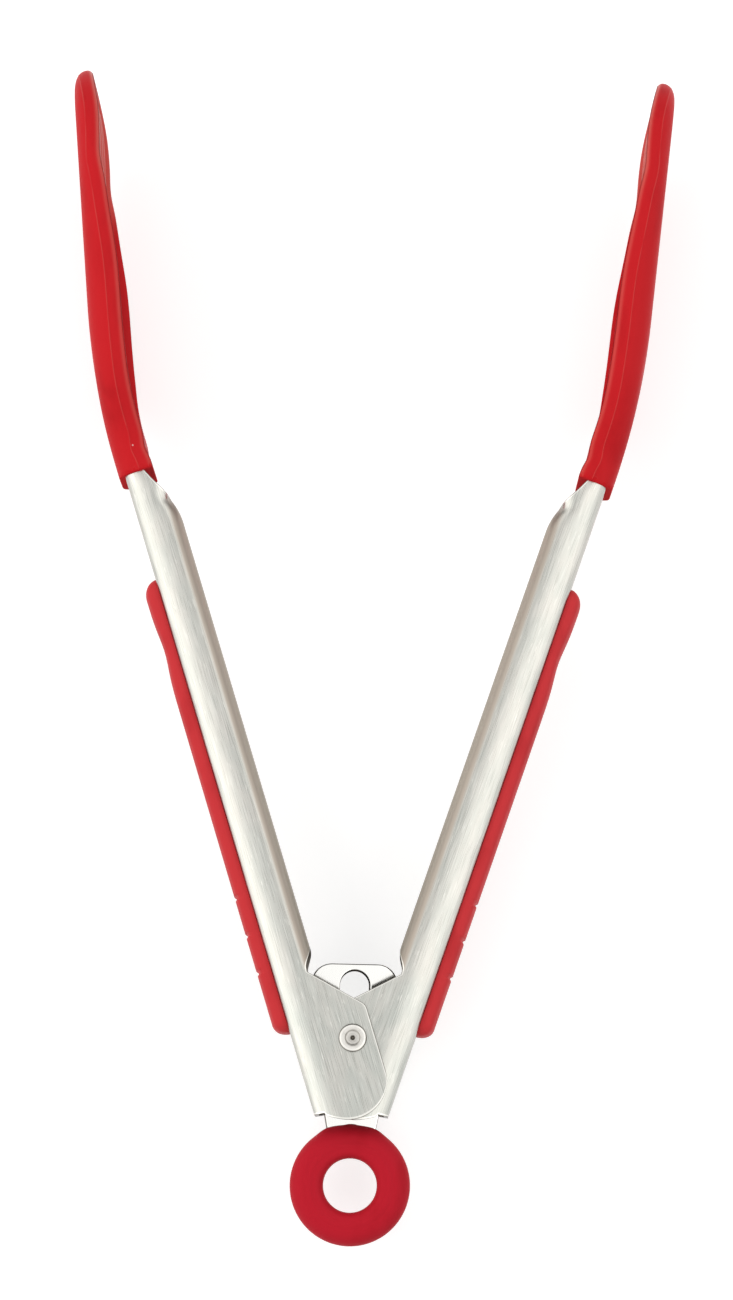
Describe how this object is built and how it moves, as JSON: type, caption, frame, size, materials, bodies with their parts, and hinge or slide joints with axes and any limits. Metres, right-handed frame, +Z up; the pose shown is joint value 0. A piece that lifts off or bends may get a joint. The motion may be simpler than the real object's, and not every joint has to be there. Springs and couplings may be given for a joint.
{
  "type": "kitchen tongs",
  "caption": "Spring-loaded kitchen tongs with steel channel arms, soft scoop heads and grips, a riveted pivot with a torsion spring, and a pull tab with a hanging ring.",
  "frame": {"origin": "centre of the pull ring's hole, in the middle plane between the two sides", "axes": "+Y from the ring to the tips along the middle line, +Z along the rivet and the ring's hole, +X across the tongs; the tongs lie on their side with +Z up"},
  "size_m": [0.128, 0.2467, 0.0362],
  "materials": {
    "arm_steel": "stainless sheet brushed along the arm",
    "head_silicone": "matte moulded silicone",
    "grip_rubber": "soft matte rubber",
    "ring_silicone": "matte moulded silicone",
    "polished_steel": "mirror polished stainless steel",
    "rivet_steel": "formed and polished steel",
    "bush_steel": "turned steel tube",
    "spring_steel": "drawn stainless spring wire",
    "nylon": "natural nylon"
  },
  "bodies": {
    "pivot": {"pivot_rivet": "rivet_steel", "pivot_bush": "bush_steel", "tab_spacer": "nylon", "slide_washer": "nylon", "torsion_spring": "spring_steel"},
    "left_arm": {"left_arm": "arm_steel", "left_head": "head_silicone", "left_grip": "grip_rubber"},
    "right_arm": {"right_arm": "arm_steel", "right_head": "head_silicone", "right_grip": "grip_rubber"},
    "pull": {"pull_tab": "polished_steel", "pull_ring": "ring_silicone"}
  },
  "joints": [
    {"name": "left_arm_hinge", "type": "hinge", "parent": "pivot", "child": "left_arm", "pos_m": [0, 0.0297, 0], "axis": [0, 0, -1], "range_deg": [0, 16.2], "stiffness_Nm_per_rad": 0.6, "springref_deg": -17.19, "deforming": ["torsion_spring"]},
    {"name": "right_arm_hinge", "type": "hinge", "parent": "pivot", "child": "right_arm", "pos_m": [0, 0.0297, 0], "axis": [0, 0, 1], "range_deg": [0, 16.2], "stiffness_Nm_per_rad": 0.6, "springref_deg": -17.19, "deforming": ["torsion_spring"]},
    {"name": "pull_slide", "type": "slide", "parent": "pivot", "child": "pull", "axis": [0, -1, 0], "range_m": [0, 0.0111]}
  ],
  "couplings": [
    {"joint": "right_arm_hinge", "follows": "left_arm_hinge", "ratio": 1}
  ]
}
